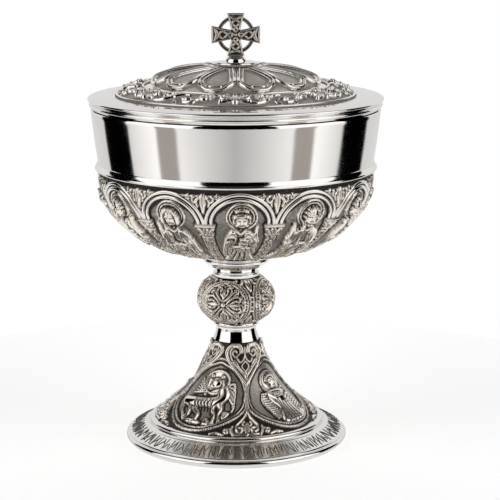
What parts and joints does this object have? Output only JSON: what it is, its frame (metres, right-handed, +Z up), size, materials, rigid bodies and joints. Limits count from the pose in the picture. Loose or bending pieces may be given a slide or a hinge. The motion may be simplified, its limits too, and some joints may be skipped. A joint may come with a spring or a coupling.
{
  "type": "ciborium",
  "caption": "Lidded silver cup on a knopped stem and a wide carved foot, with an arcade of relief figures and a ringed cross on the lid",
  "frame": {"origin": "centre of the underside of the foot, on the surface it stands on", "axes": "+Z up along the axis of the cup and stem; -Y towards the front figure; +X to its right as seen from the front"},
  "size_m": [0.1504, 0.1504, 0.2215],
  "materials": {
    "polished_silver": "mirror-polished silver",
    "carved_silver": "cast silver with dark oxidised recesses and rubbed highlights",
    "lid_silver": "polished silver with oxidised matt fields",
    "cross_silver": "darkly oxidised silver"
  },
  "bodies": {
    "root": {"foot": "carved_silver", "lower_collar": "polished_silver", "knop": "carved_silver", "upper_collar": "polished_silver", "calyx": "carved_silver", "cup": "polished_silver", "lid": "lid_silver", "finial_knob": "polished_silver", "cross": "cross_silver"}
  },
  "joints": []
}
